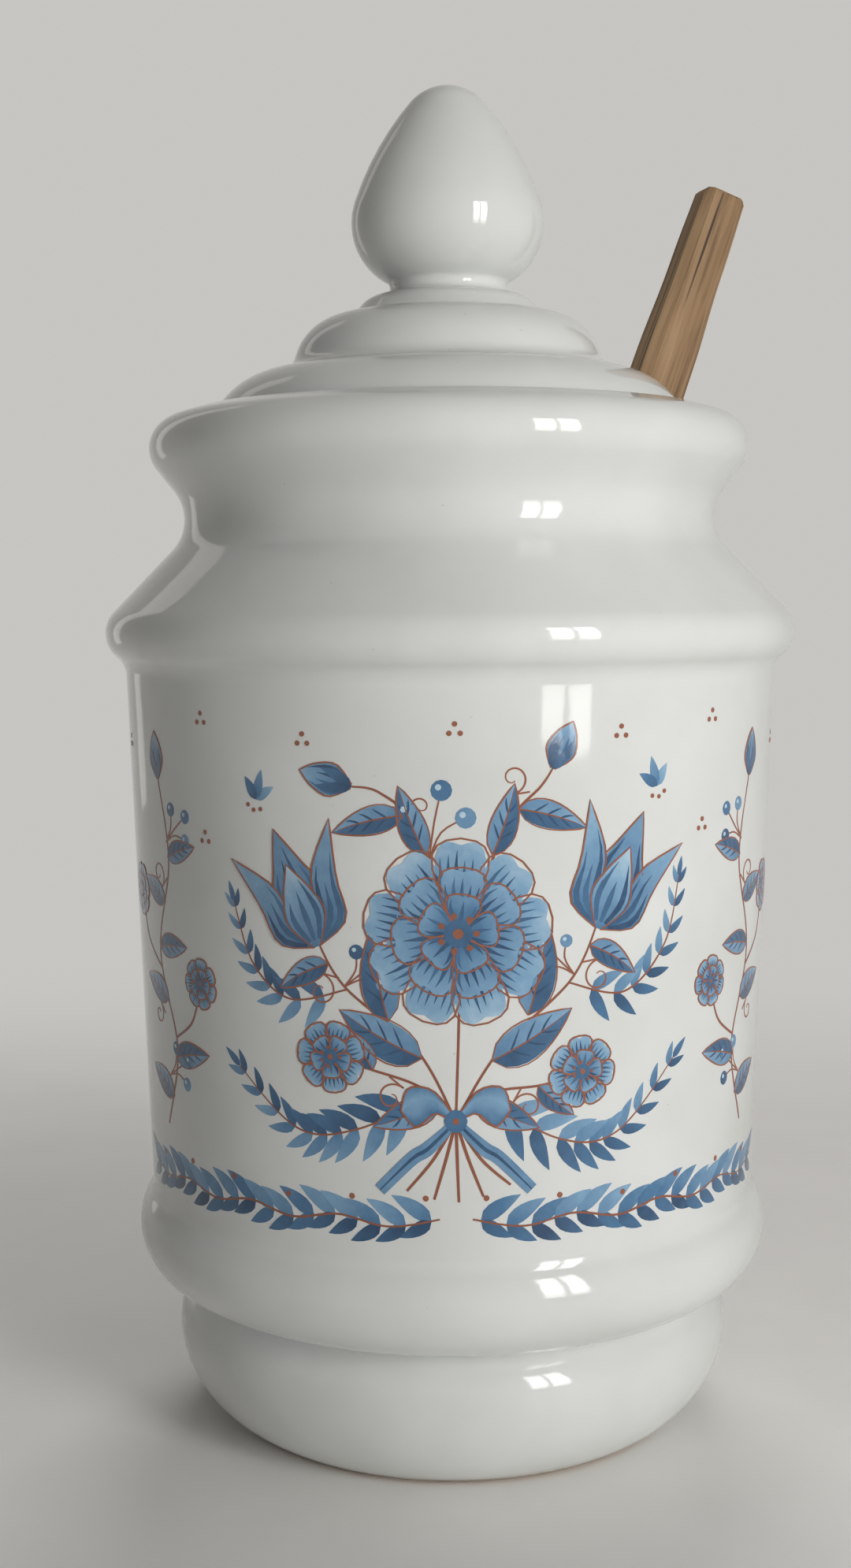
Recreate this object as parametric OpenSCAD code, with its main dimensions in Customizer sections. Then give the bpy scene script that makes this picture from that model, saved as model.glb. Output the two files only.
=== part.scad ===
// Lidded olive jar in glazed earthenware, with a knobbed lid and a wooden olive ladle.
// Millimetres, +Z up. The jar stands on z = 0 with its axis on Z and its front towards -Y.
// The ladle stands in the jar and leans out through a notch in the lid, on the +X side.

/* [Foot] */
// Outer radius of the foot
foot_r = 57.2; // [54:0.2:60]
// Height of the foot, up to the crease below the lower bead
foot_h = 28.5; // [26:0.1:32]
// Rounding of the foot's lower flank
foot_edge = 20.2; // [18:0.1:22]
// Height of the crease above the widest place of that flank
foot_drop = 10; // [9:0.1:12]
// Rounding of the foot's shoulder, next to the crease
foot_shoulder = 8; // [6:0.1:9]
// Depth of the crease inside the foot's side
crease_deep = 4.2; // [3.4:0.1:5]
// How far the flat ring the jar stands on lies inside the foot's side
ring_in = 11.6; // [10.8:0.1:13]
// Width of that ring
ring_w = 4.5; // [3:0.1:6]
// Depth of the hollow under the base
recess = 3.2; // [2:0.2:5]

/* [Body] */
// Outer radius of the lower bead
low_bead_r = 65.2; // [64.4:0.1:68]
// Rounding of the lower bead
low_bead_round = 11.3; // [9:0.1:13]
// How far the lower bead stands out from the plain body's wall
low_bead_out = 2.8; // [2:0.1:5]
// Outer radius of the shoulder bead
bead_r = 70; // [66:0.1:76]
// How far the shoulder bead stands out from the plain body's wall
bead_out = 4; // [3:0.1:6]
// Height of the shoulder bead's middle
bead_z = 161.1; // [145:0.1:180]
// Rounding of the shoulder bead
bead_round = 6.3; // [5:0.1:7.5]
// Rounding between the plain body and either bead
body_cove = 5; // [3:0.5:8]

/* [Neck and rim] */
// Radius of the neck at its narrowest
neck_r = 53.9; // [52.5:0.1:56]
// Height of the narrowest place above the shoulder bead
neck_rise = 22.8; // [20:0.2:28]
// Hollow rounding of the neck
neck_cove = 9; // [6:0.5:12]
// Outer radius of the rolled rim
rim_r = 60.7; // [59:0.1:64]
// Height of the rim's middle above the neck
rim_rise = 14; // [13:0.2:20]
// Half thickness of the rolled rim
rim_round = 6.5; // [5.5:0.1:7]
// Height of the rim's crest above the middle of its roll
crest_rise = 7.5; // [7:0.1:8.4]
// How far the crest lies inside the middle of the roll
crest_in = 2.7; // [2.4:0.1:3]
// Rounding of the crest
crest_round = 2.3; // [1.8:0.1:3]
// Thickness of the jar's wall
wall = 5.8; // [4:0.2:7]
// Thickness of the jar's floor above the hollow under it
floor_t = 6; // [4:0.2:9]

/* [Lid] */
// How far the lid's flange reaches out over the edge of the mouth
flange_lap = 0.9; // [0.5:0.1:1.5]
// Rounding of the flange's thin edge
flange_edge = 1.2; // [0.8:0.1:1.6]
// Rounding of the brim, which rises from the flange to the dome
brim_round = 15.8; // [14.5:0.1:17]
// Height of the brim above the flange
brim_h = 12.6; // [11:0.1:14]
// Radius of the dome
dome_r = 31.4; // [28:0.2:33]
// Rounding of the dome
dome_round = 10.8; // [8:0.2:12]
// Height of the dome above the brim
dome_rise = 11.1; // [10:0.1:14]
// Hollow rounding at the foot of the dome
dome_cove = 4; // [3:0.1:5]
// Radius of the small ring below the knob
collar_r = 18.9; // [17.6:0.1:20]
// Rounding of that ring
collar_round = 5.2; // [4:0.1:6]
// Radius of the knob's neck
knob_neck_r = 11.8; // [10.5:0.1:12.5]
// Largest radius of the knob
knob_r = 19.5; // [17:0.1:21]
// Rounding of the knob's belly
knob_round = 13; // [11:0.1:14]
// Height of the knob, from its neck to its tip
knob_h = 40.4; // [34:0.2:46]
// Rounding of the knob's flank, between its belly and its tip
knob_flank = 60; // [40:1:90]
// Rounding of the knob's tip
knob_tip = 10.2; // [7:0.1:11.5]
// Thickness of the lid's wall
lid_wall = 4.6; // [3.4:0.1:5.2]
// Depth below the flange of the ring that centres the lid in the mouth
bezel_h = 6.4; // [4:0.2:8]

/* [Ladle] */
// Length of the ladle, from the bowl's tip to the end of the handle
ladle_len = 259; // [245:1:280]
// Lean of the handle from upright, in degrees
lean = 20; // [16:0.5:22]
// Direction of the lean, in degrees from +X towards +Y
lean_dir = 15; // [0:1:40]
// Thickness of the handle
handle_low = 11.8; // [10:0.2:13]
// Thickness of the handle at its free end
handle_top = 9.2; // [7:0.2:10]
// Length over which the handle thins towards its free end
taper_len = 54; // [20:1:120]
// Width of the bowl
bowl_w = 40; // [34:1:44]
// Depth of the bowl's outside
bowl_deep = 14; // [12:0.5:16]
// Thickness of the bowl
bowl_wall = 3.4; // [2.6:0.2:4]
// Radius of the circle on which the drain holes lie
drain_ring = 8.4; // [7:0.2:9]
// Diameter of a drain hole in the bowl
drain_d = 3.8; // [2.5:0.1:4]

/* [Fits] */
// Space kept between the lid and the jar, and below the ladle
rest_gap = 0.3; // [0.2:0.05:0.6]
// Space between the handle and the rim it leans on
lean_gap = 0.8; // [0.4:0.1:1.2]
// Space between the mouth and the ring that centres the lid in it
bezel_gap = 3.1; // [1.5:0.1:5]
// Space on each side of the handle in the lid's notch
notch_gap = 3; // [1.5:0.1:4]

/* [Hidden] */
$fn = 96;
arc_step = 10;
arc_len = 3.2;

// Pegs that set the jar's outline, each [radius of its middle, height, rounding].
// The outline runs round the outside of a peg with a positive rounding, which is a bead,
// and round the near side of one with a negative rounding, which is a hollow.
ring_peg = [foot_r - ring_in, 0, 0];
recess_r = ring_peg.x - ring_w;
foot_peg = [foot_r - foot_edge, foot_h - foot_drop, foot_edge];
shoulder_turn = 8;
crease_gap = 0.2;
shoulder_peg = within(foot_peg, foot_shoulder, shoulder_turn);
crease = [foot_r - crease_deep, foot_h, 0];
low_peg = [low_bead_r - low_bead_round, foot_h + crease_gap + low_bead_round, low_bead_round];
bead_peg = [bead_r - bead_round, bead_z, bead_round];
wall_low_r = low_bead_r - low_bead_out;
wall_top_r = bead_r - bead_out;
low_cove_r = wall_low_r + body_cove;
low_cove_peg = [low_cove_r, touch(low_peg, low_cove_r, body_cove, 1), -body_cove];
top_cove_r = wall_top_r + body_cove;
top_cove_peg = [top_cove_r, touch(bead_peg, top_cove_r, body_cove, -1), -body_cove];
neck_z = bead_z + neck_rise;
neck_peg = [neck_r + neck_cove, neck_z, -neck_cove];
rim_z = neck_z + rim_rise;
rim_peg = [rim_r - rim_round, rim_z, rim_round];
crest_peg = [rim_peg.x - crest_in, rim_z + crest_rise - crest_round, crest_round];
mouth_r = rim_peg.x - rim_round;

// Pegs for the inside, which keeps a wall's thickness from the outside, and a little more behind
// the lower bead and at the crease
floor_z = recess + floor_t;
vault_round = 10;
vault_drop = 7;
low_in_round = 6;
low_in_rise = 14;
low_in_more = 2;
crease_more = 0.6;
floor_round = 7;
floor_more = 0.4;
neck_in_peg = [neck_r + neck_cove, neck_z, neck_cove + wall];
vault_in = wall_top_r - wall;
vault_in_peg = [vault_in - vault_round, bead_z - vault_drop, -vault_round];
low_in_r = low_bead_r - wall - low_in_more;
low_in_peg = [low_in_r - low_in_round, foot_h + low_in_rise, -low_in_round];
crease_in_peg = [crease.x - crease_more, crease.y, wall];
floor_in_r = crease.x - wall - floor_more;
floor_in_peg = [floor_in_r - floor_round, floor_z + floor_round, -floor_round];

jar_pegs = [[recess_r, 0, 0], ring_peg, foot_peg, shoulder_peg, crease, low_peg, low_cove_peg,
            top_cove_peg, bead_peg, neck_peg, rim_peg, crest_peg, rim_peg, neck_in_peg,
            vault_in_peg, low_in_peg, crease_in_peg, floor_in_peg];

// The lid rests on the inner side of the rolled rim. Its brim's round would reach a little past the
// flange, the dome draws in slightly at its foot, and the collar sits sunk in the dome.
flange_r = mouth_r + flange_lap;
edge_r = flange_r - flange_edge;
edge_z = touch(rim_peg, edge_r, flange_edge + rest_gap, 1);
flange_z = edge_z - flange_edge;
edge_peg = [edge_r, edge_z, flange_edge];
brim_top = flange_z + brim_h;
brim_over = 0.7;
brim_r = flange_r + brim_over;
brim_peg = [brim_r - brim_round, brim_top - brim_round, brim_round];
dome_z = brim_top + dome_rise;
dome_peg = [dome_r - dome_round, dome_z - dome_round, dome_round];
dome_foot_in = 0.4;
dome_cove_r = dome_r - dome_foot_in + dome_cove;
dome_cove_peg = [dome_cove_r, touch(brim_peg, dome_cove_r, dome_cove, 1), -dome_cove];
collar_sink = 1.2;
collar_peg = [collar_r - collar_round, dome_z - collar_sink, collar_round];
collar_cove = 0.8;
collar_cove_out = 1;
collar_cove_r = collar_r + collar_cove_out;
collar_cove_z = touch(dome_peg, collar_cove_r, collar_cove, 1);
collar_cove_peg = [collar_cove_r, collar_cove_z, -collar_cove];
knob_neck_z = dome_z + collar_round;
knob_cove = 1.5;
knob_cove_lift = 0.5;
knob_neck_peg = [knob_neck_r + knob_cove, knob_neck_z + knob_cove_lift, -knob_cove];
knob_top = knob_neck_z + knob_h;
belly_r = knob_r - knob_round;
belly_peg = [belly_r, touch(knob_neck_peg, belly_r, knob_round, 1), knob_round];
tip_peg = [0, knob_top - knob_tip, knob_tip];
flank_peg = over(belly_peg, tip_peg, knob_flank);

// The lid's inside: hollow knob, a little thicker at its belly and tip, dome, and the ring that
// centres the lid
tip_more = 3;
belly_more = 2;
belly_tighter = 0.5;
belly_in_round = knob_round - lid_wall - belly_tighter;
throat_round = 4;
throat_drop = 1;
knob_in_top = [0, tip_peg.y - tip_more, -(knob_tip - lid_wall)];
knob_in_peg = [knob_r - lid_wall - belly_more - belly_in_round, belly_peg.y, -belly_in_round];
throat_r = knob_neck_r - lid_wall;
throat_peg = [throat_r + throat_round, knob_neck_z - throat_drop, throat_round];
dome_in_peg = [dome_peg.x, dome_peg.y, -(dome_round - lid_wall)];
brim_in_peg = [dome_cove_r, dome_cove_peg.y, dome_cove + lid_wall];
bezel_r = mouth_r - bezel_gap;
bezel_round = 2.5;
bezel_in_r = bezel_r - lid_wall - bezel_round;
bezel_in_z = touch(brim_peg, bezel_in_r, -lid_wall - bezel_round, 1);
bezel_in_peg = [bezel_in_r, bezel_in_z, -bezel_round];
bezel_peg = [bezel_r - lid_wall / 2, flange_z - bezel_h + lid_wall / 2, lid_wall / 2];
seat_round = 1;
seat_peg = [bezel_r + seat_round, flange_z - seat_round, -seat_round];

lid_pegs = [knob_in_top, knob_in_peg, throat_peg, dome_in_peg, brim_in_peg, bezel_in_peg,
            bezel_peg, seat_peg, edge_peg, brim_peg, dome_cove_peg, dome_peg, collar_cove_peg,
            collar_peg, knob_neck_peg, belly_peg, flank_peg, tip_peg];

// The ladle stands on the jar's floor and leans on the rim's roll or crest
bowl_r = bowl_w / 2;
bowl_out_of_handle = 0.4;
bowl_face = handle_low / 2 + bowl_out_of_handle;
bowl_edge = 1.3;
bowl_edge_peg = [bowl_r - bowl_edge, -bowl_edge, bowl_edge];
bowl_out = cap_r(bowl_r, bowl_deep);
bowl_in = cap_r(bowl_r - bowl_wall, bowl_deep - bowl_wall);
low_edge = sin(lean) * (bowl_face - bowl_edge) + cos(lean) * bowl_edge - bowl_edge;
low_back = sin(lean) * (bowl_face - bowl_deep + bowl_out) + cos(lean) * bowl_r - bowl_out;
ladle_z = floor_z + rest_gap - min(low_edge, low_back);
ladle_x = min(lean_x(rim_peg), lean_x(crest_peg));
handle_root = 6;
edge_share = 1.16;
handle_from = bowl_r + handle_root;

// The notch starts where the handle's inner side passes below the brim
brim_under = brim_in_peg.y - brim_in_peg.z;
notch_half = handle_low / 2 + notch_gap;
notch_room = 5;
notch_z = flange_z - bezel_h - notch_room;
handle_x = ladle_x + (brim_under - ladle_z) * tan(lean);
notch_x = handle_x - handle_low / 2 / cos(lean) - notch_gap + notch_half;

// Height at which a round of radius rad, its middle at radius r, just touches a peg
function touch(peg, r, rad, side) =
    peg.y + side * sqrt(max(1, pow(abs(peg.z) + rad, 2) - pow(r - peg.x, 2)));

// Peg of rounding rad that runs smoothly from bead a over to bead b
function over(a, b, rad) =
    let (step = [b.x - a.x, b.y - a.y],
         gap = norm(step),
         from_a = rad - a.z,
         along = (from_a * from_a - pow(rad - b.z, 2) + gap * gap) / (2 * gap),
         aside = sqrt(max(0, from_a * from_a - along * along)))
    [a.x + (along * step.x - aside * step.y) / gap,
     a.y + (along * step.y + aside * step.x) / gap, rad];

// Peg of rounding rad that touches the inside of a larger peg, up by turn degrees from level
function within(peg, rad, turn) =
    [peg.x + (peg.z - rad) * cos(turn), peg.y + (peg.z - rad) * sin(turn), rad];

// Radius at which the ladle stands when its handle leans on a peg
function lean_x(peg) =
    peg.x - (peg.z + handle_low / 2 + lean_gap + (peg.y - ladle_z) * sin(lean)) / cos(lean);

// Radius of a sphere whose cap has this rim radius and depth
function cap_r(r, deep) = (r * r + deep * deep) / (2 * deep);

// Direction of the straight line that touches two pegs, in degrees
function run(a, b) =
    atan2(b.y - a.y, b.x - a.x)
    - asin(max(-1, min(1, (b.z - a.z) / norm([b.x - a.x, b.y - a.y]))));

// Point of a peg where the outline passes in direction d
function at(p, d) = [p.x + p.z * sin(d), p.y - p.z * cos(d)];

// Angle brought into one turn, from half a degree below 0
function in_turn(d) = d - 360 * floor((d + 0.5) / 360);

// Directions in which the outline comes to and leaves peg i; it starts outwards from the axis
// and ends towards it. Round a bead it turns left, round a hollow it turns right.
function comes(pegs, i) = i == 0 ? 0 : run(pegs[i - 1], pegs[i]);
function goes(pegs, i) = i == len(pegs) - 1 ? 180 : run(pegs[i], pegs[i + 1]);
function leaves(pegs, i) =
    let (d = comes(pegs, i), turn = pegs[i].z < 0 ? -1 : 1)
    d + turn * in_turn(turn * (goes(pegs, i) - d));

// Points of the arc in which the outline runs round peg i, in steps of at most arc_step degrees
// and about arc_len millimetres.
// A first point that the straight before it has already reached is left out.
function arc(pegs, i) =
    let (p = pegs[i],
         d0 = comes(pegs, i),
         d1 = leaves(pegs, i),
         step = min(arc_step, arc_len / max(0.1, abs(p.z)) * 180 / PI),
         steps = max(1, ceil(abs(d1 - d0) / step)),
         met = i > 0 && norm(at(pegs[i - 1], d0) - at(p, d0)) < 0.02)
    p.z == 0 ? [at(p, 0)] : [for (k = [met ? 1 : 0:steps]) at(p, d0 + (d1 - d0) * k / steps)];

// Half section of a turned piece: a run of pegs, closed along the axis
module section(pegs, from, to) {
    arcs = [for (i = [0:len(pegs) - 1]) each arc(pegs, i)];
    polygon(concat(from, arcs, to));
}

// The pot: foot, plain body between two beads, neck and rolled rim, hollow inside
module jar() {
    color("Gainsboro")
        rotate_extrude()
            section(jar_pegs, [[0, recess], [recess_r - recess, recess]], [[0, floor_z]]);
}

// The lid with its hollow knob, notched at the edge for the ladle's handle
module lid() {
    color("WhiteSmoke")
        difference() {
            rotate_extrude()
                section(lid_pegs, [], []);
            rotate([0, 0, lean_dir])
                translate([notch_x, 0, notch_z])
                    notch();
        }
}

// A slot with a round inner end, open outwards
module notch() {
    tall = dome_z - notch_z;
    cylinder(r = notch_half, h = tall);
    translate([0, -notch_half, 0])
        cube([flange_r, 2 * notch_half, tall]);
}

// The wooden ladle: whittled handle and a round bowl with drain holes
module ladle() {
    color("BurlyWood")
        rotate([0, 0, lean_dir])
            translate([ladle_x, 0, ladle_z])
                rotate([0, lean, 0])
                    ladle_upright();
}

// The ladle with its handle upright and its bowl open towards -X
module ladle_upright() {
    difference() {
        union() {
            on_bowl()
                rotate_extrude()
                    section([[0, bowl_out - bowl_deep, bowl_out], bowl_edge_peg], [], [[0, 0]]);
            handle();
        }
        on_bowl()
            rotate_extrude()
                hollow_section();
        on_bowl()
            drain_holes();
    }
}

// Puts a shape whose +Z is the bowl's open side in the bowl's place
module on_bowl() {
    translate([-bowl_face, 0, bowl_r])
        rotate([0, -90, 0])
            rotate([0, 0, 90])
                children();
}

// Half section of the bowl's hollow, which runs a little way out of the bowl
module hollow_section() {
    deep = bowl_deep - bowl_wall;
    intersection() {
        translate([0, bowl_in - deep])
            circle(r = bowl_in);
        translate([0, -bowl_w])
            square([bowl_w, bowl_w + bowl_wall]);
    }
}

// One drain hole in the middle of the bowl and six round it
module drain_holes() {
    translate([0, 0, -bowl_w])
        cylinder(d = drain_d, h = bowl_w);
    for (hole = [0:5])
        rotate([0, 0, 60 * hole])
            translate([drain_ring, 0, -bowl_w])
                cylinder(d = drain_d, h = bowl_w);
}

// Square handle with its four edges whittled off
module handle() {
    intersection() {
        taper(1);
        rotate([0, 0, 90])
            taper(1);
        rotate([0, 0, 45])
            taper(edge_share);
        rotate([0, 0, -45])
            taper(edge_share);
    }
}

// A bar of the handle's thickness that thins towards its free end, times a factor
module taper(times) {
    low = times * handle_low / 2;
    top = times * handle_top / 2;
    thins = ladle_len - taper_len;
    rotate([90, 0, 0])
        linear_extrude(2 * handle_low, center = true)
            polygon([[-low, handle_from], [low, handle_from], [low, thins], [top, ladle_len],
                     [-top, ladle_len], [-low, thins]]);
}

jar();
lid();
ladle();
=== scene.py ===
"""Looks of the lidded olive jar: glazed jar and lid, painted flowers and a wooden ladle.

Sizes are in millimetres, named as in the part's source, and MM turns them into metres.
"""

import math
import random
from math import cos, hypot, pi, radians, sin, sqrt

import bmesh
import bpy
from mathutils import Matrix, Vector


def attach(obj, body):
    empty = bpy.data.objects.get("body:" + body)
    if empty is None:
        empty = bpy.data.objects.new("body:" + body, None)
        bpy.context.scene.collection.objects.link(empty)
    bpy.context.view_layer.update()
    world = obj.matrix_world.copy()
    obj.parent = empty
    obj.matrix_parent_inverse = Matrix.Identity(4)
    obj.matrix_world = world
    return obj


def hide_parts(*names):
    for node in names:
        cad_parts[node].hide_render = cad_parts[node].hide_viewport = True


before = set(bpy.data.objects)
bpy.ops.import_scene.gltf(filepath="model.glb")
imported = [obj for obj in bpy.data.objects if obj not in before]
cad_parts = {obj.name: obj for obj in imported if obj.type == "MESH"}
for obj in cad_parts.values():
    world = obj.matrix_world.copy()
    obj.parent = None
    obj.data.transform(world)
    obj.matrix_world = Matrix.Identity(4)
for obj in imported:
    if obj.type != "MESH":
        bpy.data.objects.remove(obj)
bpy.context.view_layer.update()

MM = 0.001

# How finely turned shapes are cut: sides round the axis, degrees of an arc, length of a straight
SIDES, ARC_STEP, LINE_STEP = 160, 5.0, 4.0
# Points closer than this are one, and points this near the axis are on it
SAME_POINT, ON_AXIS = 0.02, 0.005
# Edges sharper than this, in degrees, stay crisp
CRISP, CRISP_WOOD = 40, 35

# Foot
FOOT_R, FOOT_H, FOOT_EDGE, FOOT_DROP = 57.2, 28.5, 20.2, 10.0
FOOT_SHOULDER, SHOULDER_TURN = 8.0, 8.0
CREASE_DEEP, CREASE_GAP = 4.2, 0.2
RING_IN, RING_W, RECESS, BARE_FOOT = 11.6, 4.5, 3.2, 0.7
# Body, neck and rim
LOW_BEAD_R, LOW_BEAD_ROUND, LOW_BEAD_OUT = 65.2, 11.3, 2.8
BEAD_R, BEAD_ROUND, BEAD_OUT, BEAD_Z = 70.0, 6.3, 4.0, 161.1
BODY_COVE = 5.0
NECK_R, NECK_RISE, NECK_COVE = 53.9, 22.8, 9.0
RIM_R, RIM_RISE, RIM_ROUND = 60.7, 14.0, 6.5
CREST_RISE, CREST_IN, CREST_ROUND = 7.5, 2.7, 2.3
# Inside of the jar
WALL, FLOOR_T = 5.8, 6.0
VAULT_ROUND, VAULT_DROP = 10.0, 7.0
LOW_IN_ROUND, LOW_IN_RISE, LOW_IN_MORE = 6.0, 14.0, 2.0
CREASE_MORE, FLOOR_ROUND, FLOOR_MORE = 0.6, 7.0, 0.4
# Lid
FLANGE_LAP, FLANGE_EDGE = 0.9, 1.2
BRIM_ROUND, BRIM_H, BRIM_OVER = 15.8, 12.6, 0.7
DOME_R, DOME_ROUND, DOME_RISE, DOME_COVE, DOME_FOOT_IN = 31.4, 10.8, 11.1, 4.0, 0.4
COLLAR_R, COLLAR_ROUND, COLLAR_SINK, COLLAR_COVE, COLLAR_COVE_OUT = 18.9, 5.2, 1.2, 0.8, 1.0
KNOB_NECK_R, KNOB_COVE, KNOB_COVE_LIFT = 11.8, 1.5, 0.5
KNOB_R, KNOB_ROUND, KNOB_H, KNOB_FLANK, KNOB_TIP = 19.5, 13.0, 40.4, 60.0, 10.2
# Inside of the lid, its centring ring and its notch
LID_WALL, TIP_MORE, BELLY_MORE, BELLY_TIGHTER = 4.6, 3.0, 2.0, 0.5
THROAT_ROUND, THROAT_DROP = 4.0, 1.0
BEZEL_H, BEZEL_GAP, BEZEL_ROUND, SEAT_ROUND = 6.4, 3.1, 2.5, 1.0
NOTCH_GAP, NOTCH_REACH, NOTCH_BELOW, NOTCH_TALL, NOTCH_STEPS = 3.0, 30.0, 12.0, 40.0, 24
# Ladle
LEAN, LEAN_DIR = radians(20), radians(15)
LADLE_LEN, HANDLE_LOW, HANDLE_TOP, TAPER_LEN, HANDLE_ROOT = 259.0, 11.8, 9.2, 54.0, 6.0
BOWL_R, BOWL_DEEP, BOWL_WALL, BOWL_EDGE, BOWL_OUT_OF_HANDLE = 20.0, 14.0, 3.4, 1.3, 0.4
DRAIN_R, DRAIN_RING, DRAIN_COUNT, DRAIN_SIDES, DRAIN_REACH = 1.9, 8.4, 6, 20, 40.0
# Room between the pieces
REST_GAP, LEAN_GAP = 0.3, 0.8


# Outlines are runs of pegs: radius of the peg's middle, height, rounding.
# The outline runs round the outside of a positive rounding and the near side of a negative one.


def touch(peg, r, rad, side):
    """Height at which a round of radius rad, its middle at radius r, just touches a peg."""
    return peg[1] + side * sqrt(max(1.0, (abs(peg[2]) + rad) ** 2 - (r - peg[0]) ** 2))


def within(peg, rad, turn):
    """Smaller peg that touches a peg's round from inside, at an angle of turn degrees."""
    off, a = peg[2] - rad, radians(turn)
    return (peg[0] + off * cos(a), peg[1] + off * sin(a), rad)


def over(a, b, rad):
    """Peg of rounding rad that runs smoothly from bead a over to bead b."""
    dx, dz = b[0] - a[0], b[1] - a[1]
    gap = hypot(dx, dz)
    from_a = rad - a[2]
    along = (from_a**2 - (rad - b[2]) ** 2 + gap**2) / (2 * gap)
    aside = sqrt(max(0.0, from_a**2 - along**2))
    return (a[0] + (along * dx - aside * dz) / gap, a[1] + (along * dz + aside * dx) / gap, rad)


def run(a, b):
    """Direction, in degrees, of the straight that touches two pegs."""
    dx, dz = b[0] - a[0], b[1] - a[1]
    lean = max(-1.0, min(1.0, (b[2] - a[2]) / hypot(dx, dz)))
    return math.degrees(math.atan2(dz, dx) - math.asin(lean))


def between(p, q, share):
    """Point at a share of the way from p to q."""
    return (p[0] + (q[0] - p[0]) * share, p[1] + (q[1] - p[1]) * share)


def outline(pegs, start, end):
    """Points of the half section that a run of pegs describes, straights cut into short steps."""
    points = list(start)
    for i, (r, z, rad) in enumerate(pegs):
        comes = 0.0 if i == 0 else run(pegs[i - 1], pegs[i])
        goes = 180.0 if i == len(pegs) - 1 else run(pegs[i], pegs[i + 1])
        turn = -1 if rad < 0 else 1
        sweep = turn * (goes - comes)
        sweep -= 360 * math.floor((sweep + 0.5) / 360)
        length = radians(sweep) * abs(rad)
        count = max(1, math.ceil(sweep / ARC_STEP), math.ceil(length / LINE_STEP))
        for k in range(count + 1 if rad else 1):
            d = radians(comes + turn * sweep * k / count)
            points.append((r + rad * sin(d), z - rad * cos(d)))
    points += end
    fine = [points[0]]
    for p in points[1:]:
        q = fine[-1]
        far = math.dist(p, q)
        if far < SAME_POINT:
            continue
        parts = math.ceil(far / LINE_STEP)
        fine += [between(q, p, k / parts) for k in range(1, parts + 1)]
    return fine


# Pegs of the jar

recess_r = FOOT_R - RING_IN - RING_W
ring = (FOOT_R - RING_IN, 0, 0)
foot = (FOOT_R - FOOT_EDGE, FOOT_H - FOOT_DROP, FOOT_EDGE)
shoulder = within(foot, FOOT_SHOULDER, SHOULDER_TURN)
crease = (FOOT_R - CREASE_DEEP, FOOT_H, 0)
low_bead = (LOW_BEAD_R - LOW_BEAD_ROUND, FOOT_H + CREASE_GAP + LOW_BEAD_ROUND, LOW_BEAD_ROUND)
bead = (BEAD_R - BEAD_ROUND, BEAD_Z, BEAD_ROUND)
wall_low_r, wall_top_r = LOW_BEAD_R - LOW_BEAD_OUT, BEAD_R - BEAD_OUT
low_cove_r, top_cove_r = wall_low_r + BODY_COVE, wall_top_r + BODY_COVE
low_cove = (low_cove_r, touch(low_bead, low_cove_r, BODY_COVE, 1), -BODY_COVE)
top_cove = (top_cove_r, touch(bead, top_cove_r, BODY_COVE, -1), -BODY_COVE)
neck = (NECK_R + NECK_COVE, BEAD_Z + NECK_RISE, -NECK_COVE)
rim = (RIM_R - RIM_ROUND, neck[1] + RIM_RISE, RIM_ROUND)
crest = (rim[0] - CREST_IN, rim[1] + CREST_RISE - CREST_ROUND, CREST_ROUND)
neck_in = (neck[0], neck[1], NECK_COVE + WALL)
vault_in = (wall_top_r - WALL - VAULT_ROUND, BEAD_Z - VAULT_DROP, -VAULT_ROUND)
low_in = (LOW_BEAD_R - WALL - LOW_IN_MORE - LOW_IN_ROUND, FOOT_H + LOW_IN_RISE, -LOW_IN_ROUND)
crease_in = (crease[0] - CREASE_MORE, FOOT_H, WALL)
floor_z = RECESS + FLOOR_T
floor_in = (crease[0] - WALL - FLOOR_MORE - FLOOR_ROUND, floor_z + FLOOR_ROUND, -FLOOR_ROUND)
JAR_PEGS = [
    (recess_r, 0, 0), ring, foot, shoulder, crease, low_bead, low_cove, top_cove, bead, neck,
    rim, crest, rim, neck_in, vault_in, low_in, crease_in, floor_in,
]

# Pegs of the lid

mouth_r = rim[0] - RIM_ROUND
flange_r = mouth_r + FLANGE_LAP
edge_r = flange_r - FLANGE_EDGE
flange_z = touch(rim, edge_r, FLANGE_EDGE + REST_GAP, 1) - FLANGE_EDGE
brim_top = flange_z + BRIM_H
dome_z = brim_top + DOME_RISE
neck_z = dome_z + COLLAR_ROUND
edge = (edge_r, flange_z + FLANGE_EDGE, FLANGE_EDGE)
brim = (flange_r + BRIM_OVER - BRIM_ROUND, brim_top - BRIM_ROUND, BRIM_ROUND)
dome = (DOME_R - DOME_ROUND, dome_z - DOME_ROUND, DOME_ROUND)
dome_cove_r = DOME_R - DOME_FOOT_IN + DOME_COVE
dome_cove = (dome_cove_r, touch(brim, dome_cove_r, DOME_COVE, 1), -DOME_COVE)
collar_cove_r = COLLAR_R + COLLAR_COVE_OUT
collar_cove = (collar_cove_r, touch(dome, collar_cove_r, COLLAR_COVE, 1), -COLLAR_COVE)
collar = (COLLAR_R - COLLAR_ROUND, dome_z - COLLAR_SINK, COLLAR_ROUND)
knob_neck = (KNOB_NECK_R + KNOB_COVE, neck_z + KNOB_COVE_LIFT, -KNOB_COVE)
belly_r = KNOB_R - KNOB_ROUND
belly = (belly_r, touch(knob_neck, belly_r, KNOB_ROUND, 1), KNOB_ROUND)
tip = (0, neck_z + KNOB_H - KNOB_TIP, KNOB_TIP)
tip_in = (0, tip[1] - TIP_MORE, LID_WALL - KNOB_TIP)
belly_in_round = KNOB_ROUND - LID_WALL - BELLY_TIGHTER
belly_in = (KNOB_R - LID_WALL - BELLY_MORE - belly_in_round, belly[1], -belly_in_round)
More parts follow.
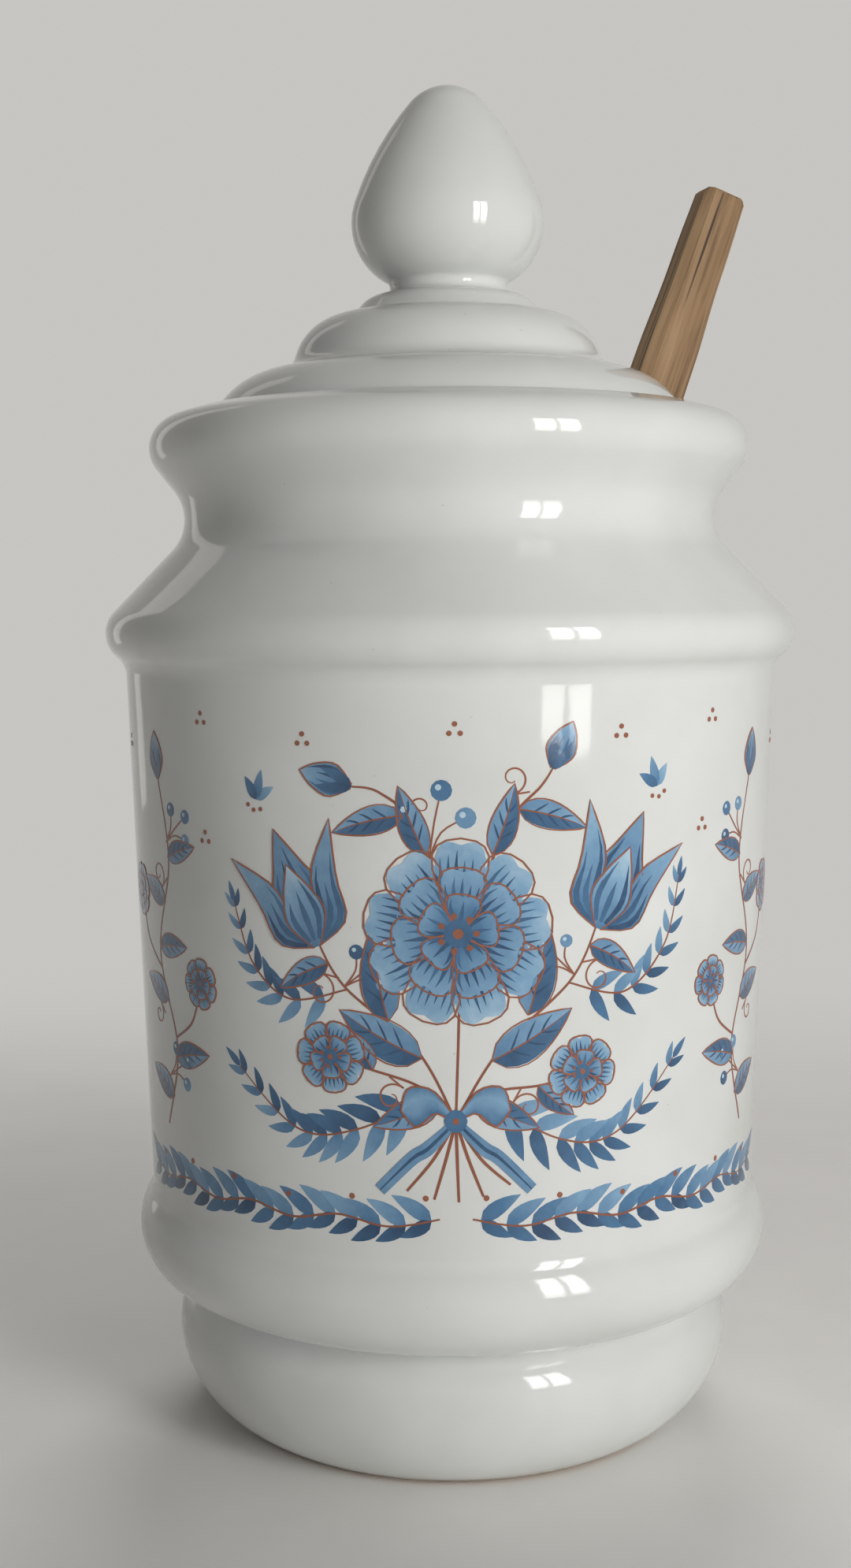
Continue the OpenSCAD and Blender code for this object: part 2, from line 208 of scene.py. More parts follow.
throat = (KNOB_NECK_R - LID_WALL + THROAT_ROUND, neck_z - THROAT_DROP, THROAT_ROUND)
dome_in = (dome[0], dome[1], LID_WALL - DOME_ROUND)
cove_in = (dome_cove_r, dome_cove[1], DOME_COVE + LID_WALL)
bezel_r = mouth_r - BEZEL_GAP
bezel_bore_r = bezel_r - LID_WALL
bezel_in_r = bezel_bore_r - BEZEL_ROUND
bezel_in = (bezel_in_r, touch(brim, bezel_in_r, -LID_WALL - BEZEL_ROUND, 1), -BEZEL_ROUND)
bezel = (bezel_bore_r + LID_WALL / 2, flange_z - BEZEL_H + LID_WALL / 2, LID_WALL / 2)
seat = (bezel_r + SEAT_ROUND, flange_z - SEAT_ROUND, -SEAT_ROUND)
LID_PEGS = [
    tip_in, belly_in, throat, dome_in, cove_in, bezel_in, bezel, seat, edge, brim,
    dome_cove, dome, collar_cove, collar, knob_neck, belly, over(belly, tip, KNOB_FLANK), tip,
]


def wall_r(z):
    """Outer radius of the plain body at height z."""
    rise = (z - low_cove[1]) / (top_cove[1] - low_cove[1])
    return wall_low_r + (wall_top_r - wall_low_r) * rise


# Objects and meshes


def linked(name, data, place=None):
    """Object put in the scene, at a place if one is given."""
    ob = bpy.data.objects.new(name, data)
    bpy.context.scene.collection.objects.link(ob)
    if place is not None:
        ob.matrix_world = place
    return ob


def new_object(name, mesh, body, place=None):
    """Piece that rides on a body."""
    ob = linked(name, mesh, place)
    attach(ob, body)
    return ob


def mesh_from(bm, name):
    """Mesh made of a bmesh, which is used up."""
    mesh = bpy.data.meshes.new(name)
    bm.to_mesh(mesh)
    bm.free()
    return mesh


def smooth(mesh, angle=CRISP):
    """Smooth shading, with edges sharper than the angle kept crisp."""
    for face in mesh.polygons:
        face.use_smooth = True
    mesh.set_sharp_from_angle(angle=radians(angle))


def lathe(name, points):
    """Mesh of a half section turned about Z; points on the axis become single vertices."""
    verts, rings = [], []
    for r, z in points:
        if r < ON_AXIS:
            rings.append([len(verts)])
            verts.append((0, 0, z * MM))
            continue
        rings.append(list(range(len(verts), len(verts) + SIDES)))
        for k in range(SIDES):
            a = 2 * pi * k / SIDES
            verts.append((r * MM * cos(a), r * MM * sin(a), z * MM))
    faces = []
    for a, b in zip(rings, rings[1:]):
        for k in range(SIDES):
            n = (k + 1) % SIDES
            if len(a) == 1 and len(b) == 1:
                break
            if len(a) == 1:
                faces.append((a[0], b[n], b[k]))
            elif len(b) == 1:
                faces.append((a[k], a[n], b[0]))
            else:
                faces.append((a[k], a[n], b[n], b[k]))
    mesh = bpy.data.meshes.new(name)
    mesh.from_pydata(verts, [], faces)
    return mesh


def slab(bm, top, low):
    """Faces over two grids of vertices and round the rim between them."""
    rows, cols = len(top), len(top[0])
    for i in range(rows - 1):
        for j in range(cols - 1):
            bm.faces.new((top[i][j], top[i + 1][j], top[i + 1][j + 1], top[i][j + 1]))
            bm.faces.new((low[i][j], low[i][j + 1], low[i + 1][j + 1], low[i + 1][j]))
    walk = [(0, j) for j in range(cols)] + [(i, cols - 1) for i in range(1, rows)]
    walk += [(rows - 1, j) for j in range(cols - 2, -1, -1)] + [(i, 0) for i in range(rows - 2, 0, -1)]
    for (i, j), (k, n) in zip(walk, walk[1:] + walk[:1]):
        bm.faces.new((top[i][j], top[k][n], low[k][n], low[i][j]))


def cut(ob, cutters):
    """Takes the cutters out of a mesh object for good."""
    for c in cutters:
        mod = ob.modifiers.new("cut", "BOOLEAN")
        mod.operation = "DIFFERENCE"
        mod.solver = "EXACT"
        mod.object = c
    bpy.context.view_layer.update()
    done = bpy.data.meshes.new_from_object(ob.evaluated_get(bpy.context.evaluated_depsgraph_get()))
    ob.modifiers.clear()
    ob.data = done
    for c in cutters:
        bpy.data.objects.remove(c)


# Materials


def nodes_of(name):
    """New material with its nodes, links and main shader."""
    mat = bpy.data.materials.new(name)
    mat.use_nodes = True
    tree = mat.node_tree
    return mat, tree.nodes, tree.links, tree.nodes["Principled BSDF"]


def put(node, values):
    """Sets inputs of a node."""
    for name, value in values.items():
        node.inputs[name].default_value = value


def noise(nodes, links, coord, scale, detail=2.0, rough=0.5, stretch=None):
    """Noise texture on the piece's own coordinates, drawn out along an axis if stretch is given."""
    tex = nodes.new("ShaderNodeTexNoise")
    put(tex, {"Scale": scale, "Detail": detail, "Roughness": rough})
    source = coord.outputs["Object"]
    if stretch:
        mapping = nodes.new("ShaderNodeMapping")
        put(mapping, {"Scale": stretch})
        links.new(source, mapping.inputs["Vector"])
        source = mapping.outputs["Vector"]
    links.new(source, tex.inputs["Vector"])
    return tex


def ramp(nodes, links, value, stops):
    """Colour ramp over a value; stops are (position, colour)."""
    node = nodes.new("ShaderNodeValToRGB")
    while len(node.color_ramp.elements) < len(stops):
        node.color_ramp.elements.new(0.5)
    for el, (pos, colour) in zip(node.color_ramp.elements, stops):
        el.position = pos
        el.color = (*colour, 1)
    links.new(value, node.inputs["Fac"])
    return node


def mix(nodes, links, kind, factor, a, b):
    """Colour mix; a and b are sockets or colours, factor a socket or a number."""
    node = nodes.new("ShaderNodeMix")
    node.data_type = "RGBA"
    node.blend_type = kind
    for socket, value in ((node.inputs[0], factor), (node.inputs[6], a), (node.inputs[7], b)):
        if isinstance(value, bpy.types.NodeSocket):
            links.new(value, socket)
        else:
            socket.default_value = (*value, 1) if isinstance(value, tuple) else value
    return node.outputs[2]


def maths(nodes, links, kind, a, b):
    """Sum, product or the like of two sockets."""
    node = nodes.new("ShaderNodeMath")
    node.operation = kind
    links.new(a, node.inputs[0])
    links.new(b, node.inputs[1])
    return node.outputs["Value"]


def bumped(nodes, links, height, strength, distance):
    """Bump node over a height socket."""
    node = nodes.new("ShaderNodeBump")
    put(node, {"Strength": strength, "Distance": distance})
    links.new(height, node.inputs["Height"])
    return node


def gloss(nodes, links, bsdf, coord):
    """The glaze's gloss: a slightly wavy, very smooth skin."""
    put(bsdf, {"Roughness": 0.07, "IOR": 1.52})
    slow = noise(nodes, links, coord, 55, 1.0)
    fine = noise(nodes, links, coord, 420, 2.0)
    wave = bumped(nodes, links, slow.outputs["Fac"], 0.22, 0.8 * MM)
    peel = bumped(nodes, links, fine.outputs["Fac"], 0.05, 0.2 * MM)
    links.new(wave.outputs["Normal"], peel.inputs["Normal"])
    links.new(peel.outputs["Normal"], bsdf.inputs["Normal"])


WHITE = [(0.3, (0.66, 0.68, 0.665)), (0.7, (0.72, 0.74, 0.735))]
SPECKS, SPECK_COLOUR = [(0.80, (0, 0, 0)), (0.86, (0.6, 0.6, 0.6))], (0.42, 0.36, 0.28)
CLAY = [(0.3, (0.46, 0.33, 0.22)), (0.7, (0.60, 0.46, 0.32))]
# Share of the bare height at which the glaze begins to run out
BARE_BEGINS = 0.7


def glaze(name, bare_below=None):
    """White tin glaze with faint clouds and specks, bare clay below a height if asked."""
    mat, nodes, links, bsdf = nodes_of(name)
    coord = nodes.new("ShaderNodeTexCoord")
    clouds = noise(nodes, links, coord, 38, 3.0)
    white = ramp(nodes, links, clouds.outputs["Fac"], WHITE)
    specks = noise(nodes, links, coord, 900, 1.0)
    speck = ramp(nodes, links, specks.outputs["Fac"], SPECKS)
    colour = mix(nodes, links, "MIX", speck.outputs["Color"], white.outputs["Color"], SPECK_COLOUR)
    if bare_below is not None:
        split = nodes.new("ShaderNodeSeparateXYZ")
        links.new(coord.outputs["Object"], split.inputs["Vector"])
        bare = nodes.new("ShaderNodeMapRange")
        put(bare, {"From Min": bare_below * BARE_BEGINS, "From Max": bare_below})
        put(bare, {"To Min": 1.0, "To Max": 0.0})
        links.new(split.outputs["Z"], bare.inputs["Value"])
        grit = noise(nodes, links, coord, 600, 3.0)
        clay = ramp(nodes, links, grit.outputs["Fac"], CLAY)
        colour = mix(nodes, links, "MIX", bare.outputs["Result"], colour, clay.outputs["Color"])
    links.new(colour, bsdf.inputs["Base Color"])
    gloss(nodes, links, bsdf, coord)
    return mat


# Range of the streaks over a stroke's tone
WASH_RANGE = 0.36


def paint(name, stops):
    """Brushed colour under the glaze: each stroke's tone is on its mesh, with watery streaks over it."""
    mat, nodes, links, bsdf = nodes_of(name)
    coord = nodes.new("ShaderNodeTexCoord")
    tone = nodes.new("ShaderNodeAttribute")
    tone.attribute_name = "tone"
    wash = noise(nodes, links, coord, 260, 4.0, 0.6)
    shift = nodes.new("ShaderNodeMath")
    shift.operation = "MULTIPLY_ADD"
    shift.inputs[1].default_value = WASH_RANGE
    shift.inputs[2].default_value = -WASH_RANGE / 2
    links.new(wash.outputs["Fac"], shift.inputs[0])
    total = maths(nodes, links, "ADD", tone.outputs["Fac"], shift.outputs["Value"])
    colour = ramp(nodes, links, total, stops)
    links.new(colour.outputs["Color"], bsdf.inputs["Base Color"])
    gloss(nodes, links, bsdf, coord)
    return mat


WOOD = [(0.28, (0.13, 0.075, 0.037)), (0.46, (0.33, 0.212, 0.113)), (0.72, (0.49, 0.328, 0.190))]
STREAKS = [(0.35, (0.62, 0.55, 0.48)), (0.62, (1, 1, 1))]
CRACKS, CRACK_COLOUR = [(0.30, (1, 1, 1)), (0.335, (0, 0, 0))], (0.045, 0.026, 0.014)


def wood(name):
    """Dry bare wood: long grain along the piece's own Z, darker streaks and drying cracks."""
    mat, nodes, links, bsdf = nodes_of(name)
    coord = nodes.new("ShaderNodeTexCoord")
    grain = noise(nodes, links, coord, 620, 4.0, 0.6, (1, 1, 0.035))
    colour = ramp(nodes, links, grain.outputs["Fac"], WOOD)
    streak = noise(nodes, links, coord, 130, 2.0, 0.5, (1, 1, 0.06))
    tone = ramp(nodes, links, streak.outputs["Fac"], STREAKS)
    base = mix(nodes, links, "MULTIPLY", 1.0, colour.outputs["Color"], tone.outputs["Color"])
    cracks = noise(nodes, links, coord, 420, 1.0, 0.5, (1, 1, 0.02))
    crack = ramp(nodes, links, cracks.outputs["Fac"], CRACKS)
    base = mix(nodes, links, "MIX", crack.outputs["Color"], base, CRACK_COLOUR)
    links.new(base, bsdf.inputs["Base Color"])
    put(bsdf, {"Roughness": 0.72})
    bump = bumped(nodes, links, grain.outputs["Fac"], 0.5, 0.4 * MM)
    links.new(bump.outputs["Normal"], bsdf.inputs["Normal"])
    return mat


# Jar

jar_section = outline(JAR_PEGS, [(0, RECESS), (recess_r - RECESS, RECESS)], [(0, floor_z)])
jar = new_object("jar_body", lathe("jar_body", jar_section), "jar")
smooth(jar.data)
jar.data.materials.append(glaze("jar_glaze", bare_below=BARE_FOOT * MM))
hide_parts("jar")

# Where the ladle stands: its bowl on the jar's floor and its handle against the rim

bowl_face = HANDLE_LOW / 2 + BOWL_OUT_OF_HANDLE
handle_from = BOWL_R + HANDLE_ROOT


def cap_r(r, deep):
    """Radius of a sphere whose cap has this rim radius and depth."""
    return (r * r + deep * deep) / (2 * deep)


bowl_out = cap_r(BOWL_R, BOWL_DEEP)
bowl_in = cap_r(BOWL_R - BOWL_WALL, BOWL_DEEP - BOWL_WALL)
low_edge = sin(LEAN) * (bowl_face - BOWL_EDGE) + cos(LEAN) * BOWL_EDGE - BOWL_EDGE
low_back = sin(LEAN) * (bowl_face - BOWL_DEEP + bowl_out) + cos(LEAN) * BOWL_R - bowl_out
ladle_z = floor_z + REST_GAP - min(low_edge, low_back)


def lean_x(peg):
    """Place of the ladle's foot at which the handle leans on a peg."""
    clear = peg[2] + HANDLE_LOW / 2 + LEAN_GAP
    return peg[0] - (clear + (peg[1] - ladle_z) * sin(LEAN)) / cos(LEAN)


ladle_x = min(lean_x(rim), lean_x(crest))
LADLE_PLACE = (
    Matrix.Rotation(LEAN_DIR, 4, "Z")
    @ Matrix.Translation((ladle_x * MM, 0, ladle_z * MM))
    @ Matrix.Rotation(LEAN, 4, "Y")
)

# Lid

notch_half = HANDLE_LOW / 2 + NOTCH_GAP
brim_under = cove_in[1] - cove_in[2]
handle_x = ladle_x + (brim_under - ladle_z) * math.tan(LEAN)
notch_x = handle_x - HANDLE_LOW / 2 / cos(LEAN) - NOTCH_GAP + notch_half


def notch_cutter():
    """The U-shaped slot at the lid's edge, as a prism."""
    loop = [(NOTCH_REACH, -notch_half), (NOTCH_REACH, notch_half)]
    for k in range(NOTCH_STEPS + 1):
        a = radians(90 + 180 * k / NOTCH_STEPS)
        loop.append((notch_half * cos(a), notch_half * sin(a)))
    bm = bmesh.new()
    face = bm.faces.new([bm.verts.new((x * MM, y * MM, 0)) for x, y in loop])
    raised = bmesh.ops.extrude_face_region(bm, geom=[face])["geom"]
    verts = [v for v in raised if isinstance(v, bmesh.types.BMVert)]
    bmesh.ops.translate(bm, verts=verts, vec=(0, 0, NOTCH_TALL * MM))
    bmesh.ops.recalc_face_normals(bm, faces=bm.faces)
    place = Matrix.Translation((notch_x * MM, 0, (flange_z - NOTCH_BELOW) * MM))
    return linked("notch", mesh_from(bm, "notch"), Matrix.Rotation(LEAN_DIR, 4, "Z") @ place)


lid = new_object("lid_body", lathe("lid_body", outline(LID_PEGS, [], [])), "lid")
cut(lid, [notch_cutter()])
smooth(lid.data)
lid.data.materials.append(glaze("lid_glaze"))
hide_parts("lid")

# Painted flowers on the plain wall. Places are (u, v): u round the wall from the front, v the height.
# A patch is a grid of (u, v, tone), where tone 0 is pale and 1 is dark.

# Radius that turns u into an angle
WALL_R = 64.0
# Height of the lowest layer over the wall, rise of each further one, and depth of all undersides
SKIN, LAYER, ROOT = 0.03, 0.011, -0.12
# Layers of paint, from the lowest to the top one
FROND, STEM, LEAF, FLOWER, RIBBON = 0, 2, 3, 7, 12
# Width and tone of the fine brown outlines, and the tone of brown stems
LINE, LINE_TONE, STEM_TONE = 0.32, 0.5, 0.6
# Half widths to which the points of strokes and of leaves and petals narrow
POINT, DAB_POINT, LEAF_POINT = 0.03, 0.04, 0.05
DAB_STEPS, DOT_STEPS, LEAF_STEPS, BLADE_STEPS = 6, 6, 9, 10
# Tones of a leaf's two halves, lit from its left or from its right
LIT_LEFT, LIT_RIGHT = (0.42, 0.82), (0.82, 0.42)
painted = {"blue": [], "brown": []}
hand = random.Random(11)


def turned(base, turn, x, y):
    """Place at (x, y) in a frame at base, whose x axis is turned up by turn degrees."""
    c, s = cos(radians(turn)), sin(radians(turn))
    return (base[0] + x * c - y * s, base[1] + x * s + y * c)


def smooth_step(a, b, c, d, f):
    """Value at a share f of the way from b to c, on a smooth line through all four."""
    bend = 2 * a - 5 * b + 4 * c - d + f * (3 * (b - c) + d - a)
    return b + 0.5 * f * (c - a + f * bend)


def curve(points, count):
    """Smooth line of count + 1 points through the given ones."""
    line = []
    last = len(points) - 1
    for k in range(count + 1):
        f = k / count * last
        i = min(int(f), last - 1)
        near = [points[max(0, min(last, i + n))] for n in (-1, 0, 1, 2)]
        line.append(tuple(smooth_step(*(p[n] for p in near), f - i) for n in (0, 1)))
    return line


def sideways(line, i, half):
    """Step of length half to the left of a line at its point i."""
    a, b = line[max(i - 1, 0)], line[min(i + 1, len(line) - 1)]
    du, dv = b[0] - a[0], b[1] - a[1]
    far = max(hypot(du, dv), 1e-6)
    return -dv / far * half, du / far * half


def patch(colour, grid, layer):
    """Adds a patch of paint."""
    painted[colour].append((grid, SKIN + LAYER * layer))


def stroke(colour, line, width, tone, layer, ends=(0.4, 0.2)):
    """Brush line whose width falls to a share of itself at either end."""
    grid = []
    last = len(line) - 1
    for i, (u, v) in enumerate(line):
        s = i / last
        swells = ends[0] + (1 - ends[0]) * s * 3.2
        thins = ends[1] + (1 - ends[1]) * (1 - s) * 2.2
        nu, nv = sideways(line, i, max(width / 2 * min(1.0, swells, thins), POINT))
        grid.append([(u - nu, v - nv, tone), (u + nu, v + nv, tone)])
    patch(colour, grid, layer)


def outlined(place, steps, layer, ends):
    """Fine brown line up one side of a leaf or petal and down the other."""
    around = [place(s, 1) for s in steps] + [place(s, -1) for s in reversed(steps[:-1])]
    stroke("brown", around, LINE, LINE_TONE, layer, ends)


def dab(base, turn, length, width, tone, layer, bend=0.0):
    """One press of a pointed brush, in blue."""
    shares = [k / DAB_STEPS for k in range(DAB_STEPS + 1)]
    line = [turned(base, turn, length * s, bend * length * s**2) for s in shares]
    grid = []
    for i, (s, (u, v)) in enumerate(zip(shares, line)):
        half = max(DAB_POINT, width / 2 * sin(pi * s**0.7) ** 0.8)
        nu, nv = sideways(line, i, half)
        shade = tone + 0.22 * (0.5 - s)
        grid.append([(u + nu * k, v + nv * k, shade) for k in (-1, 0, 1)])
    patch("blue", grid, layer)


def dot(u, v, r, tone, layer, colour="brown"):
    """Round dot of radius r."""
    rows = []
    for k in range(DOT_STEPS + 1):
        h = -cos(pi * k / DOT_STEPS)
        half = r * max(0.08, sqrt(max(0.0, 1 - h * h)))
        rows.append([(u + half * n, v + r * h, tone) for n in (-1, 0, 1)])
    patch(colour, rows, layer)


def leaf(base, turn, length, width, bend=0.0, tones=LIT_LEFT):
    """Leaf in two tones with fine dark veins and a brown outline and rib."""

    def place(s, t, fill=1.0):
        half = max(LEAF_POINT, fill * width / 2 * sin(pi * s**0.72) ** 0.85)
        return turned(base, turn, s * length, t * half + bend * length * s * s)

    def shade(s, t):
        return 0.30 * (0.4 - s) * (1 - 0.4 * t)

    steps = [k / LEAF_STEPS for k in range(LEAF_STEPS + 1)]
    for side, tone in zip((-1, 1), tones):
        grid = [[(*place(s, side * t, 0.93), tone + shade(s, t)) for t in (0, 0.5, 1)] for s in steps]
        patch("blue", grid, LEAF)
        for k in range(3):
            vein = [place(0.22 + 0.19 * k + 0.06 * n, side * 0.25 * n) for n in range(4)]
            stroke("blue", vein, 0.42, 0.95, LEAF + 1, (0.7, 0.2))
    outlined(place, steps, LEAF + 2, (0.7, 0.5))
    stroke("brown", [place(s * 0.92, 0) for s in steps], 0.28, STEM_TONE, LEAF + 2, (1.0, 0.3))


def petal(base, turn, length, width, layer, tones, strokes, notch):
    """Broad petal, dark at its foot, with brush strokes fanning towards its tip and a brown outline."""

    def place(s, t):
        half = max(LEAF_POINT, width * 0.62 * s**0.8 * sqrt(max(0.0, 1 - s**6)))
        dip = notch * s**3 * max(0.0, 1 - 1.6 * abs(t))
        return turned(base, turn, length * (s - dip), t * half)

    steps = [0, 0.15, 0.32, 0.5, 0.68, 0.82, 0.92, 0.975, 1.0]
    cross = [-0.88, -0.45, 0, 0.45, 0.88]
    pale, dark = tones
    fill = [[(*place(0.965 * s, t), dark + (pale - dark) * s) for t in cross] for s in steps]
    patch("blue", fill, layer)
    for k in range(strokes):
        t = -0.72 + 1.44 * k / max(1, strokes - 1)
        end = 0.78 + 0.15 * hand.random() - 0.10 * abs(t)
        line = [place(0.12 + (end - 0.12) * n / 5, t) for n in range(6)]
        tone = 0.70 + 0.28 * hand.random()
        stroke("blue", line, 0.075 * width + 0.25, tone, layer + 1, (0.6, 0.05))
    outlined(place, steps, layer + 2, (0.7, 0.7))


# Rings of a bloom from the outside in: petals, their length and width, strokes on each
BLOOM_RINGS = [(9, 1.0, 0.66, 6), (7, 0.70, 0.56, 5), (5, 0.42, 0.42, 3)]
STAMENS = 7


def bloom(centre, size, turn=0.0, rings=3):
    """Round double flower: rings of petals, each over the foot of the one outside it."""
    for n, (count, reach, width, strokes) in enumerate(BLOOM_RINGS[-rings:]):
        for k in range(count):
            a = turn + 360 * (k + 0.5 * n) / count
            tones = (0.16 + 0.10 * n + 0.10 * hand.random(), 0.70 + 0.08 * n)
            petal(centre, a, size * reach, size * width, FLOWER + 3 * n, tones, strokes, 0.04)
    heart = FLOWER + 3 * rings + 1
    dot(*centre, size * 0.15, 0.80, heart, "blue")
    for k in range(STAMENS):
        dot(*turned(centre, 360 * k / STAMENS, size * 0.19, 0), size * 0.034, STEM_TONE, heart + 1)
    dot(*centre, size * 0.055, LINE_TONE, heart + 1)


def blade(base, turn, size, left, right, layer, tones, strokes):
    """Petal between two edges given in a frame of its own, y up from its foot."""
    a, b = curve(left, BLADE_STEPS), curve(right, BLADE_STEPS)
    rows = range(BLADE_STEPS + 1)
    pale, dark = tones

    def place(i, t):
        x, y = between(a[i], b[i], t)
        return turned(base, turn, size * y, -size * x)

    def shaded(i, t):
        return (*place(i, 0.04 + 0.92 * t), dark + (pale - dark) * i / BLADE_STEPS)

    patch("blue", [[shaded(i, t) for t in (0, 0.33, 0.67, 1)] for i in rows], layer)
    for k in range(strokes):
        t = (k + 0.6) / (strokes + 0.2)
        end = 6 + hand.randrange(3)
        line = [place(i, t) for i in range(1, end + 1)]
        stroke("blue", line, 0.05 * size + 0.15, 0.72 + 0.26 * hand.random(), layer + 1, (0.6, 0.05))
    around = [place(i, 0) for i in rows] + [place(i, 1) for i in reversed(rows[:-1])]
    stroke("brown", around, LINE, LINE_TONE, layer + 2, (0.8, 0.8))


def mirrored(edge):
    """A petal's edge on the other side of its middle."""
    return [(-x, y) for x, y in edge]


def tulip(base, turn, size):
    """Tulip from the side: flaring petals, an upright one behind and a pointed one in front."""
    outer = [(-0.03, 0.0), (-0.36, 0.14), (-0.42, 0.52), (-0.56, 1.02)]
    inner = [(0.03, 0.02), (-0.12, 0.30), (-0.22, 0.66), (-0.56, 1.02)]
    upright = [(-0.02, 0.05), (-0.26, 0.45), (-0.14, 0.80), (0, 1.12)]
    pointed = [(-0.03, 0.0), (-0.20, 0.26), (-0.15, 0.50), (0, 0.78)]
    blade(base, turn, size, outer, inner, FLOWER + 3, (0.18, 0.76), 3)
    blade(base, turn, size, mirrored(inner), mirrored(outer), FLOWER + 3, (0.24, 0.80), 3)
    blade(base, turn, size, upright, mirrored(upright), FLOWER, (0.35, 0.70), 4)
    blade(base, turn, size, pointed, mirrored(pointed), FLOWER + 6, (0.08, 0.62), 3)


def bud(base, turn, size):
    """Closed bud held by two sepals."""
    edge = [(-0.04, 0.0), (-0.30, 0.36), (-0.20, 0.74), (0, 1.0)]
    blade(base, turn, size, edge, mirrored(edge), FLOWER, (0.18, 0.74), 4)
    for spread, tone, bend in ((28, 0.88, -0.25), (-28, 0.82, 0.25)):
        dab(base, turn + spread, size * 0.62, size * 0.20, tone, FLOWER + 3, bend)


def tendril(base, turn, size, way):
    """Fine brown line that ends in a curl."""
    line = [base]
    for k in range(27):
        s = k / 26
        a = radians(way * (140 + 400 * s**1.3))
        r = size * 0.42 * (1 - 0.78 * s)
        x, y = size * 0.55 + r * cos(a), way * size * 0.12 + r * sin(a)
        line.append(turned(base, turn, x, y))
    stroke("brown", curve(line, 46), 0.34, 0.45, STEM, (1.0, 0.5))


# Shares of a frond's stem between which its leaves grow
FROND_FROM, FROND_TO = 0.16, 0.97


def frond(points, count, size):
    """Arching stem with pairs of single brush leaves that get smaller towards its end."""
    line = curve(points, 60)
    stroke("brown", line, 0.36, STEM_TONE, STEM, (1.0, 0.5))
    for k in range(count):
        s = FROND_FROM + (FROND_TO - FROND_FROM) * k / (count - 1)
        i = int(s * 59)
        turn = math.degrees(math.atan2(line[i + 1][1] - line[i][1], line[i + 1][0] - line[i][0]))
        length = size * (1.05 - 0.6 * s)
        for side, tone in ((-1, 0.72), (1, 0.38)):
            tone += 0.16 * hand.random()
            spread = side * (52 - 14 * s)
            dab(line[i], turn + spread, length, length * 0.34, tone, FROND + k % 2, -0.16 * side)
    dab(line[-1], turn, size * 0.5, size * 0.16, 0.7, FROND)


def stem(points, width=0.48):
    """Plain brown stem."""
    stroke("brown", curve(points, 40), width, 0.62, STEM, (1.0, 0.7))


def berries(base, turn, size):
    """Forked twig with berries."""
    for k, (a, r) in enumerate(((-34, 0.9), (-4, 1.15), (30, 0.85))):
        middle = turned(base, turn + a * 0.5, size * r * 0.55, 0)
        end = turned(base, turn + a, size * r, 0)
        stroke("brown", curve([base, middle, end], 8), LINE, 0.55, STEM, (1.0, 0.8))
        dot(*end, size * 0.17, 0.45 + 0.2 * k, LEAF, "blue")
        dot(end[0] - size * 0.05, end[1] + size * 0.05, size * 0.05, 0.0, LEAF + 1, "blue")


def bouquet():
    """Tied bunch at the front: a large bloom among tulips, fronds, buds and berries."""
    knot = (0.0, 75.0)
    stem([knot, (0.5, 90), (1.0, 110)])
    stem([knot, (-7, 88), (-20, 99), (-25, 107)])
    stem([knot, (8, 88), (21, 100), (26, 110)])
    stem([knot, (-6, 81), (-15, 84), (-21, 85)])
    stem([knot, (6, 80), (15, 81), (21, 82)])
    stem([(-1, 110), (-7, 128), (-13, 134), (-18, 135)])
    stem([(2, 110), (9, 128), (15, 135), (17, 138)])
    for u, v in ((-9, 62), (-4, 60.5), (0.5, 60), (5, 61), (10, 63)):
        stroke("brown", curve([knot, (u * 0.45, 68), (u, v)], 12), 0.6, STEM_TONE, STEM, (1.0, 0.8))
    frond([(-4, 80), (-18, 73), (-30, 72), (-43, 82)], 10, 9.5)
    frond([(4, 80), (19, 71), (31, 71), (44, 83)], 10, 9.5)
    frond([(-19.5, 98.5), (-31, 96), (-39, 102), (-43, 113)], 8, 7.5)
    frond([(20.5, 99.5), (32, 97), (41, 105), (44, 117)], 8, 7.5)
    leaf((-6, 86.5), 158, 17, 7.5, -0.12)
    leaf((6.5, 86), 24, 17, 7.5, 0.12, LIT_RIGHT)
    leaf((-12, 93), 106, 17, 7.0, -0.12)
    leaf((13, 94), 72, 17, 7.0, 0.12, LIT_RIGHT)
    leaf((-3, 79), 212, 13, 5.6, -0.14, (0.76, 0.45))
    leaf((3.5, 79), -34, 13, 5.6, 0.14, (0.45, 0.76))
    leaf((-9, 130), 186, 13, 5.2, 0.15)
    leaf((11, 131), -8, 13, 5.2, -0.15, LIT_RIGHT)
    leaf((-5, 123), 118, 13, 5.0, -0.12)
    leaf((6.5, 123), 66, 13, 5.0, 0.12, LIT_RIGHT)
    leaf((-23, 103), 196, 11, 4.6, 0.2)
    leaf((24.5, 106), -20, 11, 4.6, -0.2, LIT_RIGHT)
    leaf((-15, 84), 118, 9, 4.0, 0.1)
    leaf((15, 81), -46, 9, 4.0, 0.1, LIT_RIGHT)
    tulip((-25, 106), 112, 20)
    tulip((26, 109), 66, 20)
    bloom((0.5, 109), 17, 8)
    bloom((-23, 86), 9.5, 20, 2)
    bloom((23.5, 83), 9.5, 44, 2)
    bud((-18, 135), 164, 10)
    bud((17, 138), 66, 9)
    berries((-4.5, 122), 84, 11)
    berries((-20, 99), 40, 8)
    berries((21.5, 101), 138, 7)
    tendril((-21, 100.5), 228, 8, -1)
    tendril((23, 103), -52, 8, 1)
    tendril((-12, 83), 262, 7, 1)
    tendril((12, 81), -60, 7, -1)
    tendril((13, 134), 128, 7, 1)
    tendril((-8, 129), 62, 6, -1)
    bow(knot, 9)


